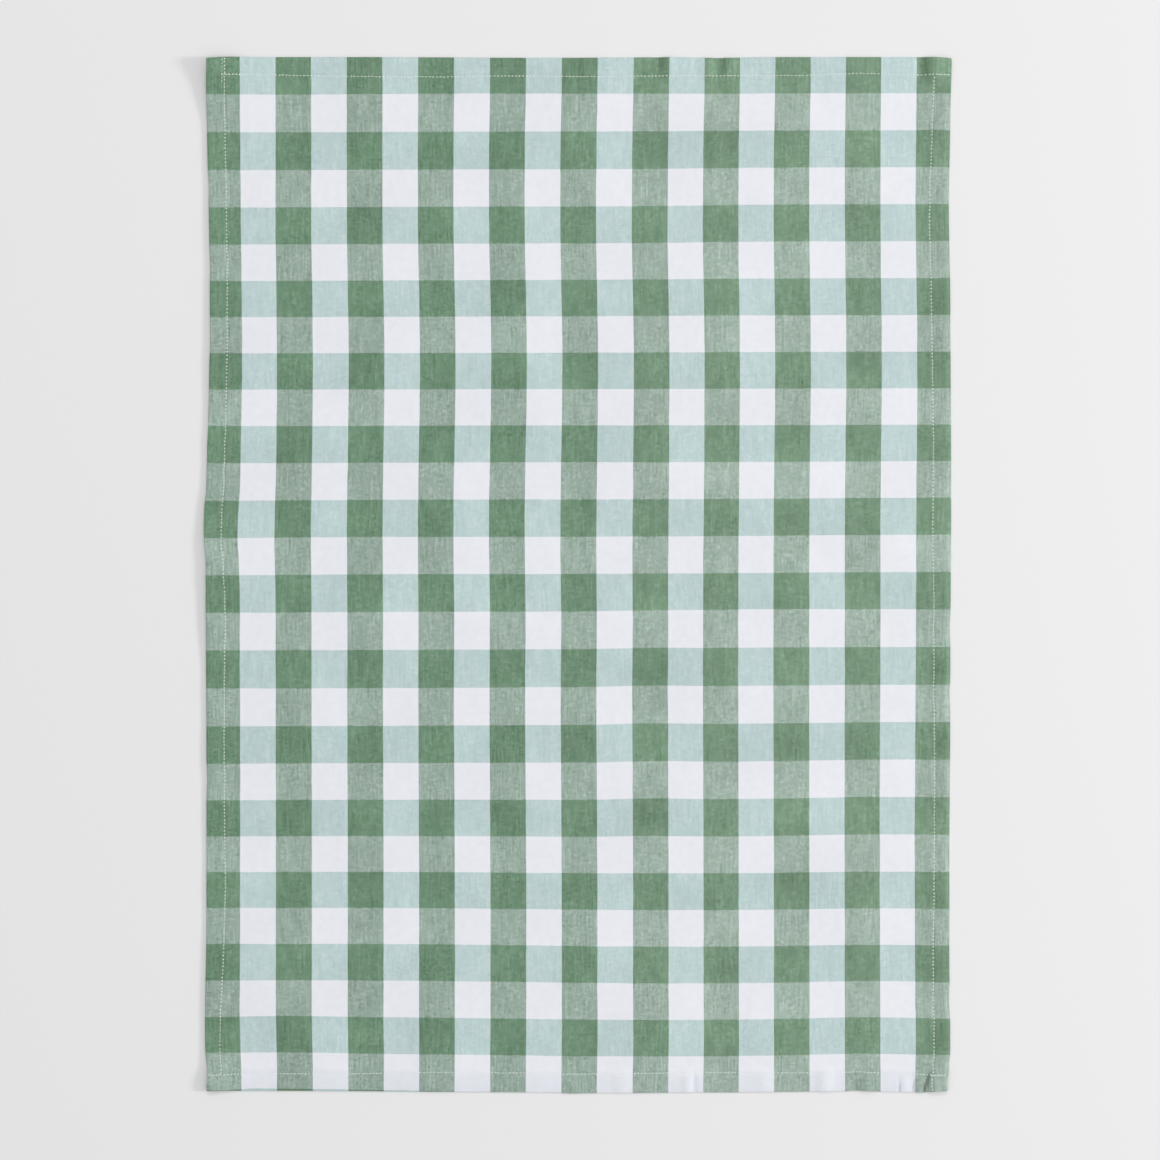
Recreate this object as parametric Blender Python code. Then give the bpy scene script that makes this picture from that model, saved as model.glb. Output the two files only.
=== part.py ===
"""A woven cotton tea towel with turned hems on all four sides, lying flat, in metres, +Z up.

+X is the towel's width, to the right as it is looked down on, and +Y is its length. The surface
that it lies on is z = 0, and the origin is there, in the middle of the towel's box.
The cloth, its four turned hems and the places where it doesn't lie tight are one solid.
"""

import math
from collections import namedtuple

import bmesh
import bpy

# The towel and its cloth. The weave is drawn at the thickness of a stiff sheet.
TOWEL_WIDTH = 0.4990
TOWEL_LENGTH = 0.6945
CLOTH_THICKNESS = 0.0010
CORNER_ROUNDING = 0.0030

# A hem is the cloth turned under twice. Past its inner fold the cloth steps down to one layer,
# and leaves a small hollow along that fold on the underside. The end hems lie over the side hems.
HEM_WIDTH = 0.0135
HEM_STEP = 0.0030
HEM_RISE = 0.0010
CORNER_RISE = 0.0007
HOLLOW_PEAK = HEM_WIDTH + 0.0004
HOLLOW_DEPTH = 0.0006
STITCH_INSET = 0.0120
STITCH_GROOVE = 0.0015
STITCH_DEPTH = 0.0004

# The outer fold is round: its two widest lines are at these shares of its height.
FOLD_ROUNDING = 0.0006
FOLD_SHARES = (0.3, 0.7)

# Where mesh lines run: across each hem, counted in from the edge, and evenly over the rest.
HEM_END = HEM_WIDTH + HEM_STEP
HEM_LINES = (FOLD_ROUNDING, 0.0030, 0.0070, 0.0105, STITCH_INSET, HEM_WIDTH, HOLLOW_PEAK, HEM_END, 0.0220)
FIELD_SPACING = 0.017
LEAST_SPACING = 0.0022

# Long shallow bows of the four edges. A centre is measured along the side from the towel's middle.
EDGE_BOW_FADE = 0.060
Bow = namedtuple("Bow", "side centre half_length out")
EDGE_BOWS = (
    Bow("left", 0.347, 0.045, 0.0008),
    Bow("left", 0.180, 0.150, -0.0021),
    Bow("left", 0.035, 0.060, 0.0021),
    Bow("left", -0.275, 0.090, 0.0011),
    Bow("right", 0.347, 0.045, 0.0008),
    Bow("right", 0.245, 0.065, -0.0010),
    Bow("right", 0.060, 0.130, 0.0007),
    Bow("right", -0.200, 0.130, -0.0006),
    Bow("right", -0.347, 0.045, -0.0018),
    Bow("top", -0.250, 0.016, -0.0012),
    Bow("top", 0.095, 0.030, -0.0006),
    Bow("bottom", 0.000, 0.200, 0.0008),
    Bow("bottom", 0.191, 0.022, -0.0010),
)

# Corners that curl up off the surface, rising all the way to their tips.
CornerLift = namedtuple("CornerLift", "side_x side_y reach_x reach_y height")
CORNER_LIFTS = (
    CornerLift(-1, 1, 0.060, 0.095, 0.0050),
    CornerLift(-1, -1, 0.035, 0.060, 0.0016),
    CornerLift(1, -1, 0.025, 0.030, 0.0009),
)

# Stretches of a side hem that stand a little off the surface.
SideLift = namedtuple("SideLift", "side_x centre half_length reach height")
SIDE_LIFTS = (
    SideLift(-1, 0.020, 0.075, 0.030, 0.0017),
    SideLift(-1, -0.180, 0.080, 0.020, 0.0005),
)

# Puckers and tucks that the sewing draws into the top and bottom hems. A tuck has a negative rise.
PUCKER_REACH = 0.024
Pucker = namedtuple("Pucker", "side_y centre half_width rise")
PUCKERS = (
    Pucker(1, 0.053, 0.006, -0.0004),
    Pucker(1, 0.094, 0.008, 0.0008),
    Pucker(-1, 0.075, 0.007, 0.0006),
    Pucker(-1, 0.122, 0.007, 0.0006),
    Pucker(-1, 0.179, 0.008, 0.0009),
    Pucker(-1, 0.217, 0.006, 0.0008),
    Pucker(-1, 0.236, 0.005, -0.0006),
)

# Soft swells, where the pressed cloth lies a little loose.
Swell = namedtuple("Swell", "x y half_x half_y height")
SWELLS = (
    Swell(-0.150, 0.190, 0.080, 0.100, 0.0005),
    Swell(0.120, 0.235, 0.090, 0.080, 0.0004),
    Swell(-0.110, -0.060, 0.075, 0.075, 0.0004),
    Swell(0.135, 0.030, 0.070, 0.090, 0.0006),
    Swell(-0.190, -0.265, 0.045, 0.070, 0.0008),
    Swell(0.010, -0.205, 0.090, 0.070, 0.0005),
    Swell(0.195, -0.240, 0.045, 0.070, 0.0007),
)

# The crosswise fold that the towel was stored on, pressed out but for a low ridge.
PRESSED_FOLD_Y = -0.004
PRESSED_FOLD_HALF_WIDTH = 0.007
PRESSED_FOLD_HEIGHT = 0.0003

COTTON_COLOUR = (0.36, 0.47, 0.39, 1.0)
COTTON_ROUGHNESS = 0.92


def clear_scene():
    for old in list(bpy.data.objects):
        bpy.data.objects.remove(old, do_unlink=True)


def hill(offset, half_width):
    """A smooth hump, 1 at no offset and 0 from half_width on."""
    share = abs(offset) / half_width
    return 0.5 + 0.5 * math.cos(math.pi * share) if share < 1 else 0.0


def curl(distance, reach):
    """A rise that steepens towards the edge, 1 at the edge and 0 from reach on."""
    return max(0.0, 1 - distance / reach) ** 2


def fade(distance, start, width):
    """1 up to start, and smoothly down to 0 over width."""
    share = min(max((distance - start) / width, 0.0), 1.0)
    return 1 - share * share * (3 - 2 * share)


def outward(amount, place):
    """The amount, turned to point away from the towel's middle on the side that the place is on."""
    return amount if place > 0 else -amount


def inset(x, y):
    """How far a point is in from the nearer side hem's edge and from the nearer end hem's edge."""
    return TOWEL_WIDTH / 2 - abs(x), TOWEL_LENGTH / 2 - abs(y)


def edge_bow(side, along):
    return sum(bow.out * hill(along - bow.centre, bow.half_length) for bow in EDGE_BOWS if bow.side == side)


def in_plan(x, y):
    """Where a point of the true rectangle lies once the edges bow and the corners are rounded."""
    from_side, from_end = inset(x, y)
    corner_x = CORNER_ROUNDING - from_side
    corner_y = CORNER_ROUNDING - from_end
    if corner_x > 0 and corner_y > 0:
        drawn_in = 1 - max(corner_x, corner_y) / math.hypot(corner_x, corner_y)
        x -= outward(corner_x * drawn_in, x)
        y -= outward(corner_y * drawn_in, y)
    across = edge_bow("right" if x > 0 else "left", y) * fade(from_side, 0, EDGE_BOW_FADE)
    lengthwise = edge_bow("top" if y > 0 else "bottom", x) * fade(from_end, 0, EDGE_BOW_FADE)
    return x + outward(across, x), y + outward(lengthwise, y)


def lift(x, y):
    """The height of the cloth's underside over the surface."""
    height = 0.0
    for corner in CORNER_LIFTS:
        from_side = TOWEL_WIDTH / 2 - corner.side_x * x
        from_end = TOWEL_LENGTH / 2 - corner.side_y * y
        height += corner.height * curl(from_side, corner.reach_x) * curl(from_end, corner.reach_y)
    for stretch in SIDE_LIFTS:
        from_side = TOWEL_WIDTH / 2 - stretch.side_x * x
        along = hill(y - stretch.centre, stretch.half_length)
        height += stretch.height * curl(from_side, stretch.reach) * along
    return height


def hollow(distance):
    """A sharp-sided hollow under the step of a hem, 1 deep at its peak."""
    rise = (distance - HEM_WIDTH) / (HOLLOW_PEAK - HEM_WIDTH)
    fall = (HEM_END - distance) / (HEM_END - HOLLOW_PEAK)
    return max(0.0, min(rise, fall))


def underside(x, y):
    """The height of the lowest layer: lifted places, and the hollow along each hem's inner fold."""
    from_side, from_end = inset(x, y)
    beside_side_hem = hollow(from_side) if from_end > HEM_WIDTH else 0.0
    return lift(x, y) + HOLLOW_DEPTH * max(beside_side_hem, hollow(from_end))


def face(x, y):
    return lift(x, y) + thickness(x, y)


def thickness(x, y):
    """From what the cloth lies on to its face: its layers, the stitching's groove and what lies loose."""
    from_side, from_end = inset(x, y)
    side_hem = fade(from_side, HEM_WIDTH, HEM_STEP)
    end_hem = fade(from_end, HEM_WIDTH, HEM_STEP)
    groove = max(hill(from_side - STITCH_INSET, STITCH_GROOVE), hill(from_end - STITCH_INSET, STITCH_GROOVE))
    height = CLOTH_THICKNESS - STITCH_DEPTH * groove
    height += HEM_RISE * max(side_hem, end_hem) + CORNER_RISE * min(side_hem, end_hem)
    height += PRESSED_FOLD_HEIGHT * hill(y - PRESSED_FOLD_Y, PRESSED_FOLD_HALF_WIDTH)
    for swell in SWELLS:
        height += swell.height * hill(x - swell.x, swell.half_x) * hill(y - swell.y, swell.half_y)
    for pucker in PUCKERS:
        from_edge = TOWEL_LENGTH / 2 - pucker.side_y * y
        height += pucker.rise * hill(x - pucker.centre, pucker.half_width) * fade(from_edge, 0, PUCKER_REACH)
    return height


def mesh_lines(span, extra):
    """Places across a span of the towel: the hems' lines, the extra ones, and even ones between them."""
    kept = [span / 2 - line for line in HEM_LINES]
    kept += [-place for place in kept]
    for place in extra:
        if min(abs(place - other) for other in kept) > LEAST_SPACING:
            kept.append(place)
    kept.sort()
    lines = []
    for here, there in zip(kept, kept[1:]):
        steps = max(1, math.ceil((there - here) / FIELD_SPACING))
        lines += [here + (there - here) * step / steps for step in range(steps)]
    return lines + [kept[-1]]


def outline(lines_x, lines_y):
    """Index pairs once round the sheet's rim, anticlockwise from above."""
    last_x = len(lines_x) - 1
    last_y = len(lines_y) - 1
    round_it = [(i, 0) for i in range(last_x)]
    round_it += [(last_x, j) for j in range(last_y)]
    round_it += [(i, last_y) for i in range(last_x, 0, -1)]
    round_it += [(0, j) for j in range(last_y, 0, -1)]
    return round_it


def out_to_edge(place, lines, span):
    """The place itself, or the towel's very edge if it is the first or last line."""
    if place in (lines[0], lines[-1]):
        return outward(span / 2, place)
    return place


def towel_mesh():
    """The face and the underside as two grids on the same lines, joined by the round outer fold."""
    pucker_lines = [p.centre + p.half_width * share for p in PUCKERS for share in (0, -0.6, 0.6)]
    fold_lines = [PRESSED_FOLD_Y + PRESSED_FOLD_HALF_WIDTH * share for share in (0, -0.5, 0.5, -1, 1)]
    lines_x = mesh_lines(TOWEL_WIDTH, pucker_lines)
    lines_y = mesh_lines(TOWEL_LENGTH, fold_lines)
    sheet = bmesh.new()

    def point(x, y, share):
        """A vertex at a share of the sheet's height, from 0, the underside, to 1, the face."""
        return sheet.verts.new((*in_plan(x, y), (1 - share) * underside(x, y) + share * face(x, y)))

    low = [[point(x, y, 0) for y in lines_y] for x in lines_x]
    top = [[point(x, y, 1) for y in lines_y] for x in lines_x]
    for i in range(len(lines_x) - 1):
        for j in range(len(lines_y) - 1):
            sheet.faces.new((top[i][j], top[i + 1][j], top[i + 1][j + 1], top[i][j + 1]))
            sheet.faces.new((low[i][j], low[i][j + 1], low[i + 1][j + 1], low[i + 1][j]))

    rim = outline(lines_x, lines_y)
    rings = [[low[i][j] for i, j in rim]]
    for share in FOLD_SHARES:
        ring = []
        for i, j in rim:
            x = out_to_edge(lines_x[i], lines_x, TOWEL_WIDTH)
            y = out_to_edge(lines_y[j], lines_y, TOWEL_LENGTH)
            ring.append(point(x, y, share))
        rings.append(ring)
    rings.append([top[i][j] for i, j in rim])
    for lower, upper in zip(rings, rings[1:]):
        for k in range(len(rim)):
            following = (k + 1) % len(rim)
            sheet.faces.new((lower[k], lower[following], upper[following], upper[k]))

    mesh = bpy.data.meshes.new("towel_cloth")
    sheet.to_mesh(mesh)
    sheet.free()
    return mesh


def centre_in_plan(mesh):
    """Moves the mesh so that the middle of its box is over the origin."""
    for axis in (0, 1):
        places = [vertex.co[axis] for vertex in mesh.vertices]
        middle = (min(places) + max(places)) / 2
        for vertex in mesh.vertices:
            vertex.co[axis] -= middle


def cotton():
    material = bpy.data.materials.new("gingham_cotton")
    material.use_nodes = True
    shader = material.node_tree.nodes["Principled BSDF"]
    shader.inputs["Base Color"].default_value = COTTON_COLOUR
    shader.inputs["Roughness"].default_value = COTTON_ROUGHNESS
    shader.inputs["Metallic"].default_value = 0.0
    return material


def make_towel():
    mesh = towel_mesh()
    centre_in_plan(mesh)
    mesh.materials.append(cotton())
    mesh.shade_smooth()
    towel = bpy.data.objects.new("towel_cloth", mesh)
    bpy.context.scene.collection.objects.link(towel)
    return towel


clear_scene()
make_towel()
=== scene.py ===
import math
from collections import namedtuple

import bpy
import numpy as np
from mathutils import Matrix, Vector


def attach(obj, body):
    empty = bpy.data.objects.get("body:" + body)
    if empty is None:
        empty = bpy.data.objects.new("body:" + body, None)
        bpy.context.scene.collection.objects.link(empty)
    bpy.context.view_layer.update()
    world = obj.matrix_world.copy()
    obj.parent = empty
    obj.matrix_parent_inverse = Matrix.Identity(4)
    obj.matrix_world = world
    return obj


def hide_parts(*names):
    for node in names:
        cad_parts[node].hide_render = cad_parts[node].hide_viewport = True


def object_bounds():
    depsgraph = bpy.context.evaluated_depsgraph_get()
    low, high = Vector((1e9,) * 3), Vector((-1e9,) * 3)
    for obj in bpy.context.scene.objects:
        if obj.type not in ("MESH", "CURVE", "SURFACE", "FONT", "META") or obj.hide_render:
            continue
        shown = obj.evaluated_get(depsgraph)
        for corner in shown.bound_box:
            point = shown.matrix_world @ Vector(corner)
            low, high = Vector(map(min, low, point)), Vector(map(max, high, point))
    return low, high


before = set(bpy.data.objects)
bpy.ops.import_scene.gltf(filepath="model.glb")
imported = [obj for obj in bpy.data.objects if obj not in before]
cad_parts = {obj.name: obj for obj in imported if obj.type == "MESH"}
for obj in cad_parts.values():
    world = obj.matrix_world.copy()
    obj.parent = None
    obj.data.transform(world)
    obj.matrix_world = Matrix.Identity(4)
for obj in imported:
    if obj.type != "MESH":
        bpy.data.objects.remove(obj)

cad_low, cad_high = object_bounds()


# -----------------------------------------------------------------------
# The cloth. One length of yarn-dyed cotton in plain weave, washed and pressed. Each edge is turned
# under twice, the sides before the ends, so a corner has nine layers. It lies face up and loose:
# the top left corner curls, and the sewing draws the ends in.

# Metres, +X across the towel and +Y along it, from the middle of the finished rectangle.
TOWEL_WIDTH = 0.4990
TOWEL_LENGTH = 0.6945
CORNER_ROUNDING = 0.0013
CLOTH_THICKNESS = 0.00040
FACE_HEIGHT = 0.00045

# Each hem is folded over once at the edge and once inside. It eases out into the single cloth.
HEM_WIDTH = 0.0135
HEM_EASE = 0.0030
TUCK_WIDTH = 0.0120
OUTER_FOLD = 0.00055
INNER_FOLD = 0.00035
TIGHTEST_FOLD = 0.00002

# A hem is at least as high as this many of its layers: there is a little air between the three.
# Where two hems cross, the bulk times both their heights is added.
LAYERS_PRESSED = 3.08
CORNER_BULK = 180.0

# The stitches draw a groove into the face and a hollow into the underside, this far to each side.
STITCH_GROOVE = 0.0018
STITCH_DEPTH = 0.00022
STITCH_HOLLOW = 0.00026

# A hem's cross-section: how far its face stands over the single cloth, at each inset from the edge.
HemHeight = namedtuple("HemHeight", "inset left right top bottom")
HEM_HEIGHTS = (
    HemHeight(0.0006, 0.00120, 0.00058, 0.00052, 0.00057),
    HemHeight(0.0020, 0.00133, 0.00132, 0.00110, 0.00085),
    HemHeight(0.0034, 0.00132, 0.00154, 0.00125, 0.00096),
    HemHeight(0.0060, 0.00112, 0.00130, 0.00108, 0.00102),
    HemHeight(0.0090, 0.00086, 0.00087, 0.00082, 0.00094),
    HemHeight(0.0120, 0.00065, 0.00058, 0.00060, 0.00072),
    HemHeight(0.0150, 0.00032, 0.00027, 0.00028, 0.00032),
    HemHeight(0.0190, 0.00000, 0.00000, 0.00000, 0.00000),
)

# Stretches where a hem lies flatter or stands fuller than that, by a share of its height.
HemStretch = namedtuple("HemStretch", "side centre half_length share")
HEM_STRETCHES = (
    HemStretch("left", 0.230, 0.080, -0.28),
    HemStretch("left", 0.155, 0.085, -0.45),
    HemStretch("left", -0.185, 0.080, -0.38),
    HemStretch("left", -0.270, 0.070, -0.10),
    HemStretch("right", 0.335, 0.022, -0.35),
    HemStretch("right", 0.270, 0.045, -0.42),
    HemStretch("right", 0.186, 0.014, 0.45),
    HemStretch("right", 0.055, 0.075, -0.45),
    HemStretch("right", -0.062, 0.014, 0.45),
    HemStretch("right", -0.112, 0.014, 0.45),
    HemStretch("right", -0.162, 0.030, -0.35),
    HemStretch("right", -0.212, 0.014, 0.35),
    HemStretch("right", -0.248, 0.028, -0.35),
    HemStretch("right", -0.309, 0.014, 0.45),
)

# Where each row of stitches runs: places along the side, each with the row's inset from the edge.
SEAMS = {
    "left": (
        (-0.345, 0.0093), (-0.310, 0.0099), (-0.260, 0.0114), (-0.205, 0.0126), (-0.160, 0.0120),
        (-0.060, 0.0123), (-0.024, 0.0128), (0.014, 0.0111), (0.045, 0.0115), (0.110, 0.0120),
        (0.190, 0.0122), (0.345, 0.0121),
    ),
    "right": (
        (-0.345, 0.0108), (-0.309, 0.0109), (-0.250, 0.0110), (-0.205, 0.0105), (-0.140, 0.0104),
        (-0.070, 0.0111), (-0.024, 0.0111), (0.020, 0.0121), (0.080, 0.0118), (0.190, 0.0128),
        (0.245, 0.0132), (0.290, 0.0123), (0.345, 0.0114),
    ),
    "top": (
        (-0.250, 0.0117), (-0.233, 0.0117), (-0.190, 0.0123), (-0.143, 0.0130), (-0.095, 0.0132),
        (-0.047, 0.0123), (0.000, 0.0127), (0.049, 0.0126), (0.100, 0.0122), (0.144, 0.0124),
        (0.190, 0.0111), (0.232, 0.0119), (0.250, 0.0114),
    ),
    "bottom": (
        (-0.250, 0.0110), (-0.225, 0.0117), (-0.190, 0.0118), (-0.143, 0.0121), (-0.095, 0.0132),
        (-0.047, 0.0130), (0.000, 0.0127), (0.049, 0.0131), (0.097, 0.0134), (0.144, 0.0128),
        (0.190, 0.0129), (0.234, 0.0120), (0.250, 0.0112),
    ),
}

# Long shallow bows of the four edges. A centre is measured along the side from the towel's middle.
EDGE_BLEND = 0.035
Bow = namedtuple("Bow", "side centre half_length out")
EDGE_BOWS = (
    Bow("left", 0.180, 0.160, -0.0024),
    Bow("left", 0.034, 0.056, 0.0017),
    Bow("left", -0.055, 0.050, 0.0003),
    Bow("left", -0.302, 0.070, 0.0010),
    Bow("left", 0.341, 0.012, -0.0006),
    Bow("left", 0.260, 0.014, -0.0004),
    Bow("left", 0.208, 0.012, -0.0004),
    Bow("left", 0.158, 0.016, -0.0004),
    Bow("left", 0.087, 0.012, 0.0004),
    Bow("left", 0.058, 0.012, -0.0007),
    Bow("left", 0.009, 0.014, -0.0009),
    Bow("left", -0.020, 0.012, 0.0005),
    Bow("left", -0.137, 0.014, -0.0006),
    Bow("left", -0.335, 0.018, -0.0012),
    Bow("right", 0.347, 0.045, 0.0008),
    Bow("right", 0.245, 0.065, -0.0010),
    Bow("right", 0.060, 0.130, 0.0006),
    Bow("right", -0.200, 0.130, -0.0006),
    Bow("right", -0.260, 0.040, -0.0003),
    Bow("right", -0.347, 0.045, -0.0015),
    Bow("right", -0.342, 0.010, -0.0008),
    Bow("right", -0.320, 0.010, 0.0005),
    Bow("right", -0.286, 0.016, -0.0007),
    Bow("right", -0.080, 0.012, -0.0005),
    Bow("right", -0.036, 0.014, -0.0005),
    Bow("top", -0.250, 0.016, -0.0012),
    Bow("top", -0.025, 0.120, -0.0005),
    Bow("top", 0.095, 0.030, -0.0006),
    Bow("top", 0.248, 0.012, -0.0006),
    Bow("bottom", -0.230, 0.240, -0.0011),
    Bow("bottom", 0.020, 0.070, 0.0005),
    Bow("bottom", 0.170, 0.080, -0.0006),
    Bow("bottom", 0.191, 0.022, -0.0004),
    Bow("bottom", 0.188, 0.010, -0.0004),
    Bow("bottom", 0.248, 0.016, -0.0009),
    Bow("bottom", -0.004, 0.012, 0.0004),
)

# Places where washing and ironing have pulled the weave out of square inside those edges, to the
# right and up the towel.
Pull = namedtuple("Pull", "x y half_x half_y right up")
PULLS = (
    Pull(-0.260, 0.235, 0.520, 0.150, 0.0, -0.0023),
    Pull(0.030, 0.250, 0.120, 0.090, 0.0, -0.0005),
    Pull(-0.260, -0.125, 0.560, 0.150, 0.0, -0.0033),
    Pull(0.090, -0.210, 0.260, 0.170, 0.0, -0.0020),
    Pull(0.260, -0.230, 0.120, 0.150, 0.0, -0.0009),
    Pull(-0.220, -0.335, 0.150, 0.075, 0.0, 0.0011),
    Pull(0.040, -0.310, 0.160, 0.110, 0.0, -0.0008),
    Pull(0.260, 0.035, 0.280, 0.150, 0.0, 0.0015),
    Pull(-0.260, 0.015, 0.150, 0.080, 0.0, -0.0009),
    Pull(-0.020, 0.080, 0.180, 0.070, 0.0, 0.0005),
    Pull(0.050, -0.090, 0.050, 0.120, 0.0, 0.0007),
    Pull(-0.020, -0.250, 0.260, 0.260, 0.0011, 0.0),
    Pull(0.250, -0.190, 0.120, 0.190, -0.0008, 0.0),
    Pull(0.000, 0.140, 0.480, 0.110, 0.0015, 0.0),
    Pull(0.060, 0.345, 0.230, 0.075, 0.0015, 0.0),
    Pull(-0.250, 0.025, 0.110, 0.045, -0.0012, 0.0),
    Pull(0.070, 0.050, 0.110, 0.080, 0.0008, 0.0),
    Pull(-0.010, -0.030, 0.200, 0.060, 0.0006, 0.0),
    Pull(0.060, 0.275, 0.110, 0.060, 0.0005, 0.0),
    Pull(-0.150, -0.050, 0.070, 0.500, 0.0003, 0.0),
    Pull(0.050, -0.050, 0.045, 0.500, 0.0004, 0.0),
    Pull(0.132, -0.050, 0.045, 0.500, -0.0003, 0.0),
    Pull(-0.190, -0.345, 0.140, 0.060, 0.0009, 0.0),
    Pull(0.050, -0.310, 0.100, 0.035, 0.0004, 0.0),
    Pull(0.195, -0.290, 0.070, 0.110, 0.0, 0.0010),
    Pull(0.120, -0.028, 0.130, 0.030, 0.0, 0.0008),
    Pull(-0.060, 0.330, 0.160, 0.045, 0.0, 0.0005),
    Pull(-0.190, -0.300, 0.050, 0.050, 0.0, 0.0006),
    Pull(0.050, -0.160, 0.040, 0.060, 0.0, 0.0005),
    Pull(0.195, -0.160, 0.060, 0.110, 0.0, 0.0005),
    Pull(-0.240, -0.348, 0.025, 0.016, 0.0, -0.0010),
    Pull(-0.010, -0.348, 0.110, 0.016, 0.0, -0.0010),
    Pull(0.100, -0.348, 0.110, 0.016, 0.0, -0.0010),
    Pull(0.210, -0.348, 0.110, 0.016, 0.0, -0.0015),
)

# Corners that curl up off the surface: the side hem rises towards the tip, which bends up most.
CornerLift = namedtuple("CornerLift", "side_x side_y reach_x reach_y height")
CORNER_LIFTS = (
    CornerLift(-1, 1, 0.050, 0.052, 0.0044),
    CornerLift(-1, 1, 0.016, 0.018, 0.0011),
    CornerLift(-1, -1, 0.035, 0.034, 0.0010),
    CornerLift(1, -1, 0.025, 0.025, 0.0009),
)

# Stretches of a side hem that stand a little off the surface.
SideLift = namedtuple("SideLift", "side_x centre half_length reach height")
SIDE_LIFTS = (
    SideLift(-1, 0.230, 0.080, 0.014, 0.0004),
    SideLift(-1, 0.150, 0.080, 0.014, 0.0012),
    SideLift(-1, 0.000, 0.075, 0.030, 0.0016),
)

# Puckers and tucks that the sewing draws into the top and bottom hems. Each runs in from the edge
# as far as its reach, and a tuck has a negative rise.
PUCKER_FADE = 0.012
Pucker = namedtuple("Pucker", "side_y centre half_width reach rise")
PUCKERS = (
    Pucker(1, -0.2290, 0.0060, 0.018, 0.0006),
    Pucker(1, -0.2030, 0.0050, 0.018, -0.0005),
    Pucker(1, -0.1479, 0.0035, 0.018, -0.0005),
    Pucker(1, -0.1318, 0.0035, 0.018, -0.0005),
    Pucker(1, -0.0870, 0.0050, 0.018, 0.0005),
    Pucker(1, -0.0016, 0.0045, 0.018, -0.0005),
    Pucker(1, 0.0393, 0.0030, 0.018, -0.0004),
    Pucker(1, 0.0525, 0.0062, 0.018, -0.0011),
    Pucker(1, 0.0610, 0.0068, 0.018, 0.0013),
    Pucker(1, 0.0782, 0.0035, 0.018, -0.0005),
    Pucker(1, 0.0860, 0.0055, 0.018, 0.0007),
    Pucker(1, 0.0942, 0.0056, 0.018, -0.0011),
    Pucker(1, 0.1010, 0.0060, 0.018, 0.0010),
    Pucker(1, 0.1800, 0.0060, 0.018, 0.0004),
    Pucker(1, 0.2290, 0.0055, 0.020, -0.0010),
    Pucker(1, 0.2390, 0.0085, 0.024, 0.0014),
    Pucker(-1, 0.0287, 0.0075, 0.018, 0.0006),
    Pucker(-1, 0.0725, 0.0045, 0.020, 0.0005),
    Pucker(-1, 0.0775, 0.0030, 0.018, -0.0006),
    Pucker(-1, 0.1250, 0.0080, 0.018, 0.0006),
    Pucker(-1, 0.1648, 0.0075, 0.020, 0.0011),
    Pucker(-1, 0.1930, 0.0075, 0.018, 0.0020),
    Pucker(-1, 0.2190, 0.0050, 0.016, 0.0006),
    Pucker(-1, 0.2290, 0.0058, 0.018, 0.0012),
    Pucker(-1, 0.2395, 0.0058, 0.018, 0.0016),
)

# Soft swells, where the pressed cloth lies a little loose.
Swell = namedtuple("Swell", "x y half_x half_y height")
SWELLS = (
    Swell(-0.150, 0.190, 0.080, 0.100, 0.0005),
    Swell(0.120, 0.235, 0.090, 0.080, 0.0004),
    Swell(-0.110, -0.060, 0.075, 0.075, 0.0004),
    Swell(0.135, 0.030, 0.070, 0.090, 0.0006),
    Swell(-0.190, -0.265, 0.045, 0.070, 0.0008),
    Swell(0.010, -0.205, 0.090, 0.070, 0.0005),
    Swell(0.195, -0.240, 0.045, 0.070, 0.0007),
)

# Short creases and dents, soft troughs in the face. They lie along their turn, in degrees from the
# towel's width: the deepest are at the bottom right, where the end hem closes over the side hem.
Crease = namedtuple("Crease", "x y turn half_length half_width depth")
CREASES = (
    Crease(0.2344, -0.3415, 74.0, 0.0105, 0.0014, 0.0013),
    Crease(0.2380, -0.3293, 80.0, 0.0085, 0.0012, 0.0004),
    Crease(0.2252, -0.3430, 82.0, 0.0060, 0.0013, 0.0011),
    Crease(0.2150, -0.3450, 90.0, 0.0060, 0.0013, 0.0008),
    Crease(0.1885, -0.3410, 62.0, 0.0070, 0.0022, 0.0005),
    Crease(0.2390, -0.2790, 108.0, 0.0260, 0.0035, 0.0003),
    Crease(0.2460, 0.1840, 90.0, 0.0100, 0.0040, 0.0002),
    Crease(0.2460, -0.1075, 90.0, 0.0100, 0.0040, 0.0002),
    Crease(-0.2435, 0.3337, -30.0, 0.0110, 0.0034, 0.0004),
    Crease(-0.0506, -0.0071, 0.0, 0.0130, 0.0080, 0.0006),
    Crease(-0.0049, -0.0071, 0.0, 0.0130, 0.0080, 0.0006),
    Crease(0.0414, -0.0071, 0.0, 0.0130, 0.0080, 0.0006),
)

# The crosswise fold that the towel was stored on, pressed out but for a low ridge.
PRESSED_FOLD_Y = -0.004
PRESSED_FOLD_HALF_WIDTH = 0.007
PRESSED_FOLD_HEIGHT = 0.0003

# The small unevenness of cloth that isn't ironed dead flat, as waves that cross each other.
Ripple = namedtuple("Ripple", "length angle height start")
RIPPLES = (
    Ripple(0.0410, 12.0, 0.000045, 0.4),
    Ripple(0.0570, 71.0, 0.000050, 1.9),
    Ripple(0.0330, 128.0, 0.000035, 3.1),
    Ripple(0.0710, 160.0, 0.000060, 4.4),
    Ripple(0.0290, 35.0, 0.000028, 5.2),
)

# Along a hem its height varies by this share, in waves: each one's length over a full turn's
# radians, and how far it is shifted from one side of the towel to the next.
HemWave = namedtuple("HemWave", "length shift")
HEM_UNEVENNESS = 0.16
HEM_WAVES = (
    HemWave(0.0113, 1.7),
    HemWave(0.0071, 3.4),
    HemWave(0.0263, 0.0),
)

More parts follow.
